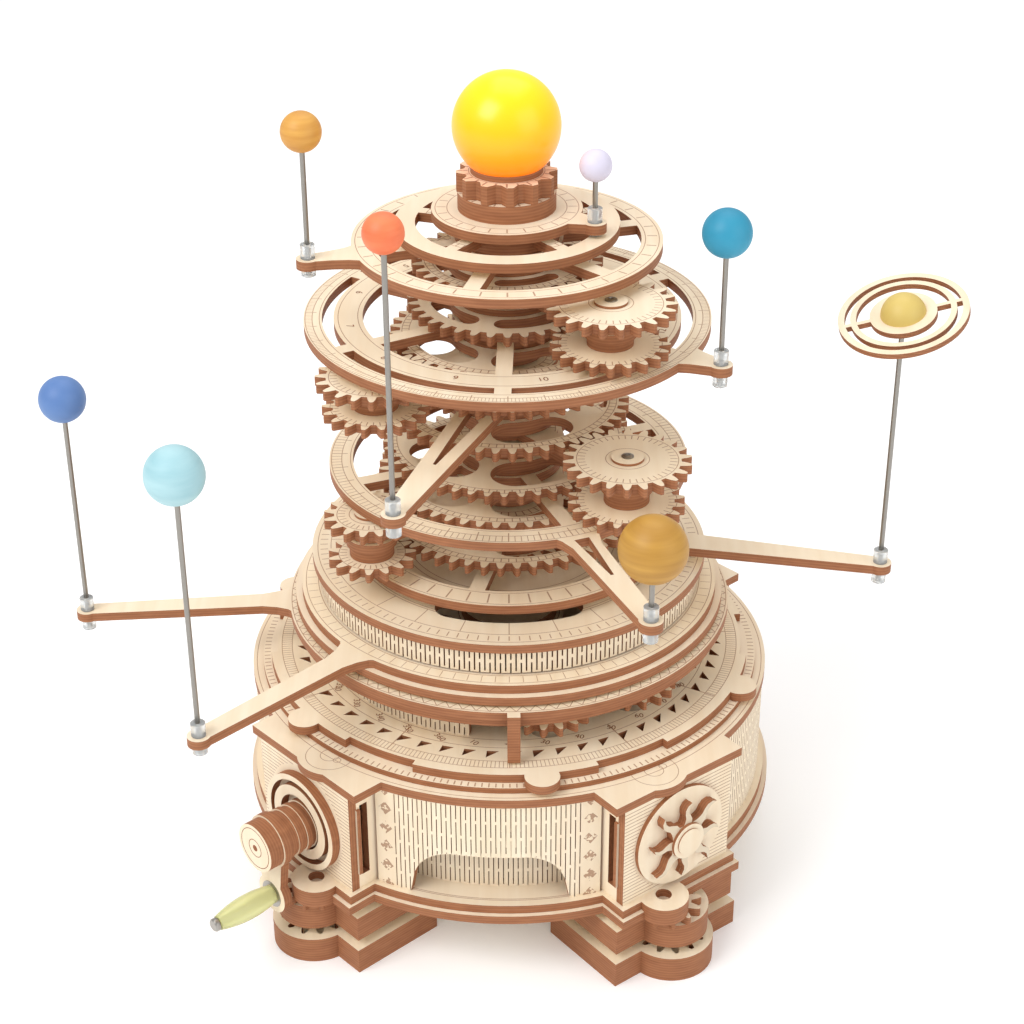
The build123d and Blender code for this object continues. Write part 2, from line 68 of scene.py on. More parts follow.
# where each curved panel starts and ends, in degrees: front, right, back, left
GAPS = ((panel_end(LEFT_FRONT, 1), panel_end(RIGHT_FRONT, -1)),
        (panel_end(RIGHT_FRONT, 1), panel_end(RIGHT_BACK, -1)),
        (panel_end(RIGHT_BACK, 1), panel_end(LEFT_BACK, -1)),
        (panel_end(LEFT_BACK, 1), panel_end(LEFT_FRONT, -1) + 360))


def lin(r, g, b):
    """Display colour 0-255 to scene-linear."""
    return tuple(((c / 255 + 0.055) / 1.055) ** 2.4 if c > 10 else c / 255 / 12.92
                 for c in (r, g, b)) + (1.0,)


CREAM, CREAM_WARM = lin(243, 228, 203), lin(226, 200, 164)
EDGE, EDGE_DARK = lin(180, 122, 84), lin(120, 72, 47)
BURN = lin(140, 82, 44)


# ---------------------------------------------------------------- node helpers
class Tree:
    """Short calls for building a material's node tree."""

    def __init__(self, name):
        self.mat = bpy.data.materials.new(name)
        self.mat.use_nodes = True
        self.t = self.mat.node_tree
        self.shader = self.t.nodes["Principled BSDF"]

    def put(self, sock, value):
        if hasattr(value, "is_linked"):
            self.t.links.new(value, sock)
        else:
            sock.default_value = value

    def m(self, op, a, b=0.0, c=0.0):
        n = self.t.nodes.new("ShaderNodeMath")
        n.operation = op
        for sock, value in zip(n.inputs, (a, b, c)):
            self.put(sock, value)
        return n.outputs[0]

    def mix(self, factor, a, b):
        n = self.t.nodes.new("ShaderNodeMix")
        n.data_type = "RGBA"
        self.put(n.inputs[0], factor)
        self.put(n.inputs[6], a)
        self.put(n.inputs[7], b)
        return n.outputs[2]

    def coords(self, centre=None):
        """Object-space x, y, z about a plan centre, and the object-space normal."""
        tc = self.t.nodes.new("ShaderNodeTexCoord")
        p = self.t.nodes.new("ShaderNodeSeparateXYZ")
        n = self.t.nodes.new("ShaderNodeSeparateXYZ")
        self.t.links.new(tc.outputs["Object"], p.inputs[0])
        self.t.links.new(tc.outputs["Normal"], n.inputs[0])
        cx, cy = centre if centre else AXIS
        x, y = self.m("SUBTRACT", p.outputs[0], cx), self.m("SUBTRACT", p.outputs[1], cy)
        return tc.outputs["Object"], (x, y, p.outputs[2]), n.outputs

    def noise(self, vector, scale, stretch=(1, 1, 1), detail=3.0):
        mp = self.t.nodes.new("ShaderNodeMapping")
        mp.inputs["Scale"].default_value = stretch
        self.t.links.new(vector, mp.inputs["Vector"])
        n = self.t.nodes.new("ShaderNodeTexNoise")
        n.inputs["Scale"].default_value = scale
        n.inputs["Detail"].default_value = detail
        self.t.links.new(mp.outputs[0], n.inputs["Vector"])
        return n.outputs[0]

    def bump(self, height, strength, distance):
        n = self.t.nodes.new("ShaderNodeBump")
        n.inputs["Strength"].default_value = strength
        n.inputs["Distance"].default_value = distance
        self.t.links.new(height, n.inputs["Height"])
        self.t.links.new(n.outputs[0], self.shader.inputs["Normal"])

    def plan_distance(self, x, y, px, py):
        dx, dy = self.m("SUBTRACT", x, px), self.m("SUBTRACT", y, py)
        return self.m("SQRT", self.m("ADD", self.m("MULTIPLY", dx, dx), self.m("MULTIPLY", dy, dy)))

    def near(self, value, target, half):
        """1 where value is within half of target."""
        return self.m("LESS_THAN", self.m("ABSOLUTE", self.m("SUBTRACT", value, target)), half)

    def band(self, value, low, high):
        return self.m("MULTIPLY", self.m("GREATER_THAN", value, low), self.m("LESS_THAN", value, high))


def plywood(name, facing="Z", centre=None, circles=(), ticks=(), hatch=None, tone=1.0, zigzag=None,
            diamonds=(), spots=()):
    """Laser-cut plywood: pale faces with grain and burnt lines, brown layered edges.
    facing: Z flat, R upright facing out, T side-on. circles: radii in mm.
    ticks: (inner, outer, count, half width). hatch: (low, high, pitch). zigzag: (inner, outer, count).
    diamonds: angles. spots: (x, y, radii) in mm."""
    t = Tree(name)
    obj, (x, y, z), n = t.coords(centre)
    r = t.m("SQRT", t.m("ADD", t.m("MULTIPLY", x, x), t.m("MULTIPLY", y, y)))
    radial = t.m("ABSOLUTE", t.m("DIVIDE", t.m("ADD", t.m("MULTIPLY", n[0], x), t.m("MULTIPLY", n[1], y)),
                                 t.m("MAXIMUM", r, 1e-5)))
    up = t.m("ABSOLUTE", n[2])
    if facing == "Z":
        face = t.m("GREATER_THAN", up, 0.7)
    elif facing == "R":
        face = t.m("GREATER_THAN", radial, 0.7)
    else:
        face = t.m("MULTIPLY", t.m("LESS_THAN", radial, 0.7), t.m("LESS_THAN", up, 0.5))
    grain = t.noise(obj, 260.0, (1.0, 0.06, 1.0) if facing == "Z" else (1.0, 1.0, 0.06), 4.0)
    cloud = t.noise(obj, 28.0)
    g = t.m("MULTIPLY_ADD", grain, 0.9, t.m("MULTIPLY_ADD", cloud, 0.5, -0.42))
    g = t.m("MINIMUM", t.m("MAXIMUM", g, 0.0), 1.0)
    pale = tuple(c * tone for c in CREAM[:3]) + (1.0,)
    warm = tuple(c * tone for c in CREAM_WARM[:3]) + (1.0,)
    colour = t.mix(g, pale, warm)
    mask = None
    for radius in circles:
        line = t.near(r, radius * MM, 0.13 * MM)
        mask = line if mask is None else t.m("MAXIMUM", mask, line)
    if ticks:
        angle = t.m("ARCTAN2", y, x)
        for inner, outer, count, half in ticks:
            step = t.m("FRACT", t.m("MULTIPLY_ADD", angle, count / (2 * math.pi), 0.5 + count))
            off = t.m("ABSOLUTE", t.m("SUBTRACT", step, 0.5))
            width = t.m("MULTIPLY", t.m("MULTIPLY", off, 2 * math.pi / count), r)
            tick = t.m("MULTIPLY", t.m("LESS_THAN", width, half * MM), t.band(r, inner * MM, outer * MM))
            mask = tick if mask is None else t.m("MAXIMUM", mask, tick)
    if zigzag:
        # truss pattern between two radii
        inner, outer, count = zigzag
        turn = t.m("FRACT", t.m("MULTIPLY_ADD", t.m("ARCTAN2", y, x), count / (2 * math.pi), count))
        wave = t.m("ABSOLUTE", t.m("MULTIPLY_ADD", turn, 2.0, -1.0))
        level = t.m("DIVIDE", t.m("SUBTRACT", r, inner * MM), (outer - inner) * MM)
        stroke = t.near(t.m("SUBTRACT", level, wave), 0.0, 0.09)
        line = t.m("MULTIPLY", stroke, t.band(r, inner * MM, outer * MM))
        mask = line if mask is None else t.m("MAXIMUM", mask, line)
    for sx, sy, radii in spots:
        away = t.plan_distance(x, y, sx * MM, sy * MM)
        for radius in radii:
            line = t.near(away, radius * MM, 0.12 * MM)
            mask = line if mask is None else t.m("MAXIMUM", mask, line)
    if diamonds:
        # a column of burnt diamonds near each end of a curved panel
        angle = t.m("ARCTAN2", y, x)
        off = None
        for at in diamonds:
            turned = t.m("ABSOLUTE", t.m("SUBTRACT", angle, math.radians((at + 180) % 360 - 180)))
            off = turned if off is None else t.m("MINIMUM", off, turned)
        off = t.m("MULTIPLY", off, PANEL_R)
        turn = t.m("FRACT", t.m("MULTIPLY_ADD", z, 1 / (7.4 * MM), -5.6))
        step = t.m("ABSOLUTE", t.m("SUBTRACT", turn, 0.5))
        off = t.m("ADD", t.m("MULTIPLY", off, 0.5), t.m("MULTIPLY", step, 3.4))
        patch = t.noise(obj, 900.0, detail=1.0)
        burn = t.m("MULTIPLY", t.m("LESS_THAN", off, 1.15), t.m("GREATER_THAN", patch, 0.47))
        mask = burn if mask is None else t.m("MAXIMUM", mask, burn)
    if hatch:
        # fine burnt lines on the block faces, kept clear of the raised disc
        low, high, pitch = hatch
        stripe = t.m("FRACT", t.m("MULTIPLY", z, 1 / (pitch * MM)))
        stripe = t.m("MULTIPLY", t.m("LESS_THAN", stripe, 0.22), t.band(z, low * MM, high * MM))
        for block_angle, shift in BLOCKS:
            a = math.radians(block_angle)
            px = BLOCK_REACH * math.cos(a) - shift * math.sin(a)
            py = BLOCK_REACH * math.sin(a) + shift * math.cos(a)
            flat_off = t.plan_distance(x, y, px * MM, py * MM)
            rise = t.m("SUBTRACT", z, 48.0 * MM)
            away = t.m("SQRT", t.m("ADD", t.m("MULTIPLY", flat_off, flat_off), t.m("MULTIPLY", rise, rise)))
            stripe = t.m("MULTIPLY", stripe, t.m("GREATER_THAN", away, 18.0 * MM))
        mask = stripe if mask is None else t.m("MAXIMUM", mask, stripe)
    if mask is not None:
        colour = t.mix(t.m("MULTIPLY", mask, 0.66), colour, BURN)
    layer = t.m("FRACT", t.m("MULTIPLY", z if facing == "Z" else r, 1 / (1.0 * MM)))
    layer = t.m("ABSOLUTE", t.m("MULTIPLY_ADD", layer, 2.0, -1.0))
    scorch = t.noise(obj, 150.0, (1.0, 1.0, 5.0), 2.0)
    edge = t.mix(t.m("MULTIPLY_ADD", layer, 0.35, t.m("MULTIPLY", scorch, 0.6)), EDGE, EDGE_DARK)
    t.put(t.shader.inputs["Base Color"], t.mix(face, edge, colour))
    t.shader.inputs["Roughness"].default_value = 0.62
    t.shader.inputs["Specular IOR Level"].default_value = 0.25
    t.bump(grain, 0.12, 0.0002)
    return t.mat


def plain(name, colour, rough=0.4, metal=0.0, speck=0.08, scale=400.0, **sockets):
    """A one-colour surface with fine mottling and a light bump."""
    t = Tree(name)
    obj, _, _ = t.coords()
    mottle = t.noise(obj, scale)
    dark = tuple(c * (1 - speck) for c in colour[:3]) + (1.0,)
    light = tuple(min(1.0, c * (1 + speck)) for c in colour[:3]) + (1.0,)
    t.put(t.shader.inputs["Base Color"], t.mix(mottle, dark, light))
    t.shader.inputs["Roughness"].default_value = rough
    t.shader.inputs["Metallic"].default_value = metal
    for key, value in sockets.items():
        t.shader.inputs[key.replace("_", " ")].default_value = value
    t.bump(mottle, 0.08, 0.0001)
    return t.mat


def grained_ball(name, light, dark, stretch=(0.4, 0.4, 3.0), scale=90.0):
    """Painted or stained turned ball with banded grain."""
    t = Tree(name)
    obj, _, _ = t.coords()
    bands = t.noise(obj, scale, stretch, 5.0)
    fine = t.noise(obj, 900.0)
    f = t.m("MINIMUM", t.m("MAXIMUM", t.m("MULTIPLY_ADD", bands, 2.2, -0.6), 0.0), 1.0)
    colour = t.mix(t.m("MULTIPLY", f, 0.75), light, dark)
    t.put(t.shader.inputs["Base Color"], colour)
    t.shader.inputs["Roughness"].default_value = 0.5
    t.bump(fine, 0.1, 0.0001)
    return t.mat


# ---------------------------------------------------------------- mesh helpers
def new_object(name, mesh, mat, body, smooth=False):
    obj = bpy.data.objects.new(name, mesh)
    bpy.context.scene.collection.objects.link(obj)
    mesh.materials.append(mat)
    for poly in mesh.polygons:
        poly.use_smooth = smooth
    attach(obj, body)
    return obj


def on_axis(radius, angle, z=0.0):
    """Point in metres from polar plan coordinates in mm about the main axis."""
    a = math.radians(angle)
    return Vector((AXIS[0] + radius * math.cos(a) * MM, AXIS[1] + radius * math.sin(a) * MM, z * MM))


def lathe(name, profile, origin, mat, body, axis=(0, 0, 1), steps=64, smooth=True):
    """Turned solid from (radius, height) pairs in mm about an axis through origin."""
    bm = bmesh.new()
    turn = Vector((0, 0, 1)).rotation_difference(Vector(axis)).to_matrix()
    loops = []
    for radius, height in profile:
        if radius < 1e-6:
            loops.append([bm.verts.new(origin + turn @ Vector((0, 0, height * MM)))])
            continue
        loops.append([bm.verts.new(origin + turn @ Vector((radius * math.cos(2 * math.pi * k / steps) * MM,
                                                            radius * math.sin(2 * math.pi * k / steps) * MM,
                                                            height * MM))) for k in range(steps)])
    for a, b in zip(loops, loops[1:]):
        for k in range(steps):
            j = (k + 1) % steps
            ring = [a[k % len(a)], a[j % len(a)], b[j % len(b)], b[k % len(b)]]
            unique = list(dict.fromkeys(ring))
            if len(unique) > 2:
                bm.faces.new(unique)
    bmesh.ops.recalc_face_normals(bm, faces=bm.faces)
    mesh = bpy.data.meshes.new(name)
    bm.to_mesh(mesh)
    bm.free()
    obj = new_object(name, mesh, mat, body, smooth)
    if smooth:
        obj.data.set_sharp_from_angle(angle=math.radians(35))
    return obj


def ball(name, centre, radius, mat, body):
    profile = [(radius * math.sin(math.pi * k / 40), -radius * math.cos(math.pi * k / 40)) for k in range(41)]
    profile[0], profile[-1] = (0.0, -radius), (0.0, radius)
    return lathe(name, profile, centre, mat, body, steps=72)


def slit_panel(name, radius, start, end, low, high, mat, body,
               pitch=1.55, slit=0.3, rows=3, hole=None, margin=0.0):
    """Upright curved sheet, 3 mm thick, with staggered flexing slits cut right through.
    hole(angle) is the height up to which the sheet is cut away."""
    bm = bmesh.new()
    half_slit = math.degrees(slit / radius) / 2
    step = math.degrees(pitch / radius)
    edge = math.degrees(margin / radius)
    count = max(1, int((end - start - 2 * edge) / step))
    first = (start + end - (count - 1) * step) / 2
    cuts = [start]
    for k in range(count):
        cuts += [first + k * step - half_slit, first + k * step + half_slit]
    cuts.append(end)
    tall = (high - low) / rows
    levels = sorted({round(low + tall * k * 0.5 + d, 4) for k in range(2 * rows + 1) for d in (-0.6, 0.6)
                     if low < low + tall * k * 0.5 + d < high} | {low, high})
    grid = {}

    def vert(i, j):
        cut = hole(cuts[i]) if hole else low
        key = (i, "cut") if levels[j] <= cut and cut > low else (i, j)
        if key not in grid:
            grid[key] = bm.verts.new(on_axis(radius, cuts[i], max(levels[j], cut)))
        return grid[key]

    for i in range(len(cuts) - 1):
        is_slit = i % 2 == 1
        shift = (i // 2) % 2
        for j in range(len(levels) - 1):
            mid_z = (levels[j] + levels[j + 1]) / 2
            if is_slit:
                phase = ((mid_z - low) / tall + 0.5 * shift) % 1.0
                bridge = min(phase, 1 - phase) * tall < 0.6
                at_end = mid_z - low < 0.6 or high - mid_z < 0.6
                if not bridge or (at_end and shift == 1):
                    if not (bridge and at_end):
                        continue
            ring = list(dict.fromkeys((vert(i, j), vert(i + 1, j), vert(i + 1, j + 1), vert(i, j + 1))))
            if len(ring) > 2:
                bm.faces.new(ring)
    loose = [v for v in bm.verts if not v.link_faces]
    bmesh.ops.delete(bm, geom=loose, context="VERTS")
    bmesh.ops.recalc_face_normals(bm, faces=bm.faces)
    mesh = bpy.data.meshes.new(name)
    bm.to_mesh(mesh)
    bm.free()
    obj = new_object(name, mesh, mat, body)
    outward = on_axis(1, (start + end) / 2) - on_axis(0, 0)
    if obj.data.polygons and obj.data.polygons[0].normal.dot(outward) < 0:
        obj.data.flip_normals()
    thick = obj.modifiers.new("sheet", "SOLIDIFY")
    thick.thickness, thick.offset = SHEET * MM, -1.0
    return obj


# ---------------------------------------------------------------- CAD nodes: plywood by kind
def dress(node, mat):
    slots = nodes[node].data.materials
    if not len(slots):
        slots.append(mat)
    for k in range(len(slots)):
        slots[k] = mat


flat = plywood("ply_flat")
dress("feet", plywood("ply_feet", tone=0.97))
dress("base_floor", plywood("ply_floor", circles=(84.6, 85.2), tone=0.98))
dress("block_sides", plywood("ply_block_side", facing="T"))
dress("block_faces", plywood("ply_block_face", facing="R", hatch=(31, 66, 1.3)))
dress("sun_emblems", plywood("ply_emblem", facing="R", tone=0.8))
marks = []
for block_angle, shift in BLOCKS:
    turn = 1 if shift > 0 else -1
    for n, side, radii in ((84.0, 8.0 * turn, (7.6, 3.0)), (84.0, 8.0 * turn + 3.6, (1.2,))):
        a = math.radians(block_angle)
        marks.append((n * math.cos(a) - side * math.sin(a), n * math.sin(a) + side * math.cos(a), radii))
dress("base_top_plate", plywood("ply_top_plate", circles=(85.2,), spots=marks))
dress("dial_support", plywood("ply_dial_support", ticks=((80.6, 82.6, 240, 0.22),)))
dress("date_dial", plywood("ply_dial", circles=(62.0, 66.2, 73.2, 76.6),
                           ticks=((73.2, 76.6, 366, 0.12), (62.0, 76.6, 12, 0.2))))
dress("deck_plate", plywood("ply_deck", circles=(33, 35, 49.5, 50.5, 58.5, 62.8),
                            ticks=((59.5, 62.0, 120, 0.18), (50.5, 58.5, 24, 0.15))))
dress("spindle_tube", plain("tube_wood", lin(206, 168, 126), 0.6))
dress("column_brackets", flat)
steel = plain("bright_steel", lin(176, 172, 166), 0.28, 1.0, speck=0.05, scale=900.0)
dress("drive_rod", steel)
dress("peg_wheel", plywood("ply_peg_wheel", circles=(26, 33), tone=0.95))
dress("drive_gears", plywood("ply_drive_gear", circles=(17, 40.0), ticks=((36.8, 39.6, 104, 0.2),)))
dress("sun_cup", plywood("ply_sun_cup", circles=(11.5,), ticks=((11.8, 14.8, 24, 0.3),)))
RING_LOOK = {
    "mercury": ((18.2, 21.8), ((18.6, 21.4, 24, 0.2),)),
    "venus": ((42.2, 46.4), ((42.8, 45.8, 36, 0.25),)),
    "earth": ((46.5, 52.6, 58.4, 60.6, 62.8), ((60.6, 62.8, 360, 0.09), (59.4, 62.8, 36, 0.16))),
    "mars": ((12.0, 15.8), ()),
    "jupiter": ((50.8, 53.6, 56.9), ((53.6, 56.9, 180, 0.12), (51.8, 56.9, 36, 0.18))),
    "saturn": ((45.2, 51.6), ((45.8, 51.0, 48, 0.25),)),
    "uranus": ((63.2, 67.2), ((63.6, 66.8, 96, 0.12),)),
    "neptune": ((69.4, 72.3), ()),
}
for planet, (circles, ticks) in RING_LOOK.items():
    dress(f"{planet}_arm", plywood(f"ply_{planet}_arm", circles=circles, ticks=ticks,
                                 zigzag=(69.4, 72.3, 110) if planet == "neptune" else None))
GEAR_LOOK = {"venus": 34, "earth": 43, "mars": 45, "jupiter": 49, "saturn": 50}
for planet, teeth in GEAR_LOOK.items():
    rim = 1.65 * (teeth / 2 - 1.15)
    dress(f"{planet}_hub", plywood(f"ply_{planet}_hub", circles=(12.5, 15.2, rim - 2.8, rim - 0.6),
                                   ticks=((rim - 2.8, rim - 0.6, 2 * teeth, 0.18), (12.5, 15.2, 36, 0.2))))
for k, teeth in enumerate((22, 16, 22, 20, 22)):
    rim = 1.65 * (teeth / 2 - 1.15)
    dress(f"column_{k}", plywood(f"ply_column_{k}", centre=tuple(joints[f"column_{k}_turn"]["pos_m"][:2]),
                                 circles=(6.6, rim - 0.9), ticks=((rim - 3.4, rim - 1.2, 2 * teeth, 0.16),)))
for planet in ("neptune", "uranus"):
    spot = tuple(joints[f"{planet}_roller_turn"]["pos_m"][:2])
    dress(f"{planet}_roller", plywood(f"ply_{planet}_roller", centre=spot, circles=(7.0, 10.8),
                                      ticks=((8.0, 10.4, 32, 0.2),)))
dress("crank_shaft", plywood("ply_crank_shaft", facing="R"))
dress("crank_arm", plywood("ply_crank_arm", facing="R"))
dress("saturn_rings", flat)
dress("handle", plain("handle_plastic", lin(240, 240, 178), 0.2, speck=0.03,
                      Transmission_Weight=0.5, IOR=1.4))

# ---------------------------------------------------------------- curved lattice panels with real slits
ends = [start + 2.3 for start, _ in GAPS] + [end - 2.3 for _, end in GAPS]
panel_ply = plywood("ply_panel", facing="R", diamonds=ends)
inner_ply = plywood("ply_inner_panel", facing="R", tone=0.95)
ARCH_X, ARCH_HALF, ARCH_HIGH, ARCH_ROUND = -6.5, 24.0, 17.5, 13.0


def arch_top(angle):
    """Height in mm to which the front panel is cut away at an angle."""
    across = abs(PANEL_R * math.cos(math.radians(angle)) - ARCH_X)
    if across > ARCH_HALF:
        return WALL_LOW
    curve = max(0.0, across - (ARCH_HALF - ARCH_ROUND))
    return WALL_LOW + ARCH_HIGH - ARCH_ROUND + math.sqrt(max(0.0, ARCH_ROUND ** 2 - curve ** 2))


panels = []
for side, (start, end) in zip(("front", "right", "back", "left"), GAPS):
    panels.append(slit_panel(f"panel_{side}", PANEL_R, start, end, WALL_LOW, WALL_HIGH, panel_ply, "base",
                             hole=arch_top if side == "front" else None, margin=6.0))
    panels.append(slit_panel(f"panel_inner_{side}", INNER_PANEL_R, start + 4, end - 4,
                             WALL_LOW, WALL_HIGH, inner_ply, "base"))
for piece in panels:
    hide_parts("lattice_panels")

skirt = slit_panel("skirt_slats", 60.5, -180.0, 180.0, 100.6, 109.0, inner_ply, "base",
                   pitch=1.55, slit=0.42, rows=1)
skirt.modifiers["sheet"].thickness = 2.0 * MM
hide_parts("deck_skirt")

drum = slit_panel("drum_panel", 58.0, -22.0, 258.0, 75.0, 89.4, inner_ply, "base", rows=2)
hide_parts("inner_drum")
post_ply = plywood("ply_posts", facing="R", tone=0.9)
for k, angle in enumerate((5.0, 95.0, 155.0, -120.0)):
    post = lathe(f"deck_post_{k}", ((0, 75), (3.0, 75), (3.2, 75.4), (3.2, 108.6), (3.0, 109), (0, 109)),
                 on_axis(53.5, angle), post_ply, "base")
    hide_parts("inner_drum")
for planet in ("neptune", "uranus"):
    x, y, _ = joints[f"{planet}_roller_turn"]["pos_m"]
    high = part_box(f"{planet}_roller")[1].z / MM - 0.1
    outline = ((0, 75), (6, 75), (6, 80.4), (1.5, 80.4), (1.5, high - 0.3), (1.2, high), (0, high))
    pin = lathe(f"{planet}_roller_pin", outline,
                Vector((x, y, 0)), steel, "base")
    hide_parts("inner_drum")

# ---------------------------------------------------------------- wavy suns on the block faces
def block_point(block, n, t, z):
    a = math.radians(block[0])
    t += block[1]
    return Vector((AXIS[0] + (n * math.cos(a) - t * math.sin(a)) * MM,
                   AXIS[1] + (n * math.sin(a) + t * math.cos(a)) * MM, z * MM))


def prism(name, outline, block, near, far, mat):
    """Outline in (sideways, up) mm about the face's middle, extruded outward from near to far."""
    bm = bmesh.new()
    low = [bm.verts.new(block_point(block, near, t, WALL_MIDDLE + z)) for t, z in outline]
    high = [bm.verts.new(block_point(block, far, t, WALL_MIDDLE + z)) for t, z in outline]
    bm.faces.new(high)
    bm.faces.new(low[::-1])
    for k in range(len(outline)):
        j = (k + 1) % len(outline)
        bm.faces.new((low[k], low[j], high[j], high[k]))
    bmesh.ops.recalc_face_normals(bm, faces=bm.faces)
    mesh = bpy.data.meshes.new(name)
    bm.to_mesh(mesh)
    bm.free()
    obj = new_object(name, mesh, mat, "base")
    return obj


def around(radius, angle):
    return (radius * math.cos(math.radians(angle)), radius * math.sin(math.radians(angle)))


# one wavy ray as radius and angle, up one side and down the other; every second ray is longer
FLAME = ((6.8, -17.0), (8.6, -14.5), (10.2, -8.0), (11.6, -3.5), (13.2, -3.0), (15.4, -7.0),
         (14.6, -0.5), (13.0, 4.5), (11.2, 5.5), (9.4, 4.5), (8.0, 8.0), (7.0, 14.0))
RAYS = [around(radius * (1.0 if k % 2 else 0.88), 45.0 * k + turn)
        for k in range(8) for radius, turn in FLAME]
emblem_ply = plywood("ply_sun_ray", facing="R", tone=0.82)
cap_ply = plywood("ply_sun_disc", facing="R", tone=0.97)
for k, block in enumerate(BLOCKS):
    if k != 1:
        smaller = [(t * 0.99, z * 0.99) for t, z in RAYS]
        back = prism(f"sun_ray_back_{k}", smaller, block, 93.0, 94.6, emblem_ply)
        front = prism(f"sun_ray_{k}", RAYS, block, 94.6, 96.0, emblem_ply)
        wide, small = ([around(radius, 10.0 * i) for i in range(36)] for radius in (6.2, 4.6))
        cap = prism(f"sun_disc_{k}", wide, block, 96.0, 97.0, cap_ply)
        rim = prism(f"sun_disc_rim_{k}", small, block, 97.0, 97.4, cap_ply)
        for piece in (back, front, cap, rim):
            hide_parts("sun_emblems")
    # upright ribs on the two sides of the block, outside the slot
    for side in (-1, 1):
        near, far = BLOCK_HALF * side, (BLOCK_HALF + 0.8) * side
        outline = [(near, -12.5), (far, -12.5), (far, 12.5), (near, 12.5)]
        prism(f"block_rib_{k}_{side}", outline, block, 87.5, 88.9, emblem_ply)

# crank: burnt rings on the cap, steel screw head at the end of the handle, washer on the plate
crank_dir = block_point(LEFT_FRONT, 1, 0, 0) - block_point(LEFT_FRONT, 0, 0, 0)
crank_dir.normalize()
line_ply = plain("burnt_line", BURN, 0.8, speck=0.2)
screw = plain("handle_screw", lin(168, 164, 158), 0.28, 1.0, speck=0.05, scale=900.0)


def flat_ring(inner, outer, place, thick):
    """Profile of a washer for lathe, from place outward along the crank's axis."""
    return ((inner, place), (outer, place), (outer, place + thick), (inner, place + thick), (inner, place))


eye = ((0, CAP_FRONT), (1.1, CAP_FRONT), (1.1, CAP_FRONT + 0.06), (0, CAP_FRONT + 0.06))
head = ((0, 128.3), (2.1, 128.3), (2.2, 128.6), (2.2, 129.6), (1.8, 130.0), (0, 130.0))
for tag, z, profile, mat, finish in (
        ("cap_ring", CRANK_Z, flat_ring(6.9, 7.1, CAP_FRONT, 0.06), line_ply, "plywood"),
        ("cap_eye", CRANK_Z, eye, line_ply, "plywood"),
        ("cap_inner", CRANK_Z, flat_ring(3.0, 3.2, CAP_FRONT, 0.06), line_ply, "plywood"),
        ("handle_head", HANDLE_Z, head, screw, "steel"),
        ("plate_washer", HANDLE_Z, flat_ring(3.2, 4.6, PLATE_FRONT, 0.2), screw, "steel")):
    place = block_point(LEFT_FRONT, 0, 0, z)
    part = lathe(f"crank_{tag}", profile, place, mat, "crank", axis=crank_dir, steps=48)

# ---------------------------------------------------------------- sun, planets, posts with clear collars
clear = plain("clear_plastic", lin(244, 246, 246), 0.1, speck=0.01, Transmission_Weight=0.7, IOR=1.3)
rod_steel = plain("rod_steel", lin(150, 146, 140), 0.35, 1.0, speck=0.06, scale=1200.0)
BALLS = {
    "mercury": grained_ball("paint_mercury", lin(222, 217, 234), lin(205, 198, 218), (1, 1, 1), 60),
    "venus": grained_ball("wood_venus", lin(222, 168, 80), lin(190, 122, 40), (0.5, 0.5, 4.0), 110),
    "earth": grained_ball("paint_earth", lin(48, 152, 184), lin(14, 120, 154), (1, 1, 1), 50),
    "mars": grained_ball("paint_mars", lin(244, 132, 84), lin(222, 92, 52), (0.5, 0.5, 3.0), 120),
    "jupiter": grained_ball("wood_jupiter", lin(204, 156, 66), lin(160, 110, 36), (0.3, 0.3, 4.0), 90),
    "saturn": grained_ball("paint_saturn", lin(216, 192, 110), lin(198, 166, 82), (1, 1, 1), 50),
    "uranus": grained_ball("paint_uranus", lin(178, 214, 220), lin(140, 188, 198), (0.6, 0.6, 3.0), 90),
    "neptune": grained_ball("paint_neptune", lin(106, 142, 196), lin(76, 112, 170), (1, 1, 1), 50),
}
for planet, mat in BALLS.items():
    body = "drive" if planet == "mercury" else planet
    low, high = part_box(f"{planet}_ball")
    centre, radius = (low + high) / 2, (high.x - low.x) / 2 / MM
    piece = ball(f"{planet}_globe", centre, radius, mat, body)
    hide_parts(f"{planet}_ball")
    foot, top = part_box(f"{planet}_post")
    arm_low, arm_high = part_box(f"{planet}_arm")
    arm_top = min(arm_high.z, foot.z + 8 * MM) / MM
    plan = Vector((centre.x, centre.y, 0))
    f, a = foot.z / MM, {"neptune": 93.0}.get(planet, arm_top)
    rod = lathe(f"{planet}_rod", ((0, f), (0.6, f), (0.8, f + 0.3), (0.8, top.z / MM), (0, top.z / MM)),
                plan, rod_steel, body, steps=24)
    pieces = [rod]
    for tag, lo, hi in (("under", f, a - 3.0), ("over", a, a + 4.5)):
        if hi - lo > 0.2:
            collar = ((0.82, lo), (2.1, lo), (2.25, lo + 0.15), (2.25, hi - 0.15),
                      (2.1, hi), (0.82, hi), (0.82, lo))
            pieces.append(lathe(f"{planet}_collar_{tag}", collar, plan, clear, body, steps=32))
    for piece in pieces:
        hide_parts(f"{planet}_post")

# sun ball: orange at the bottom running to yellow at the top, with a painted glow (faint emission in its own
# colour) though the ball is no lamp
sun = Tree("sun_painted_glow")
_, (sx, sy, sz), _ = sun.coords()
height = sun.m("MULTIPLY_ADD", sz, 1 / 0.0328, -0.2376 / 0.0328)
sun_colour = sun.mix(sun.m("MINIMUM", sun.m("MAXIMUM", height, 0.0), 1.0), lin(250, 112, 0), lin(255, 208, 8))
sun.put(sun.shader.inputs["Base Color"], sun_colour)
sun.put(sun.shader.inputs["Emission Color"], sun_colour)
sun.shader.inputs["Emission Strength"].default_value = 0.35
sun.shader.inputs["Roughness"].default_value = 0.3
low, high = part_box("sun_globe")
globe = ball("sun_ball", (low + high) / 2, (high.x - low.x) / 2 / MM, sun.mat, "drive")
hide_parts("sun_globe")

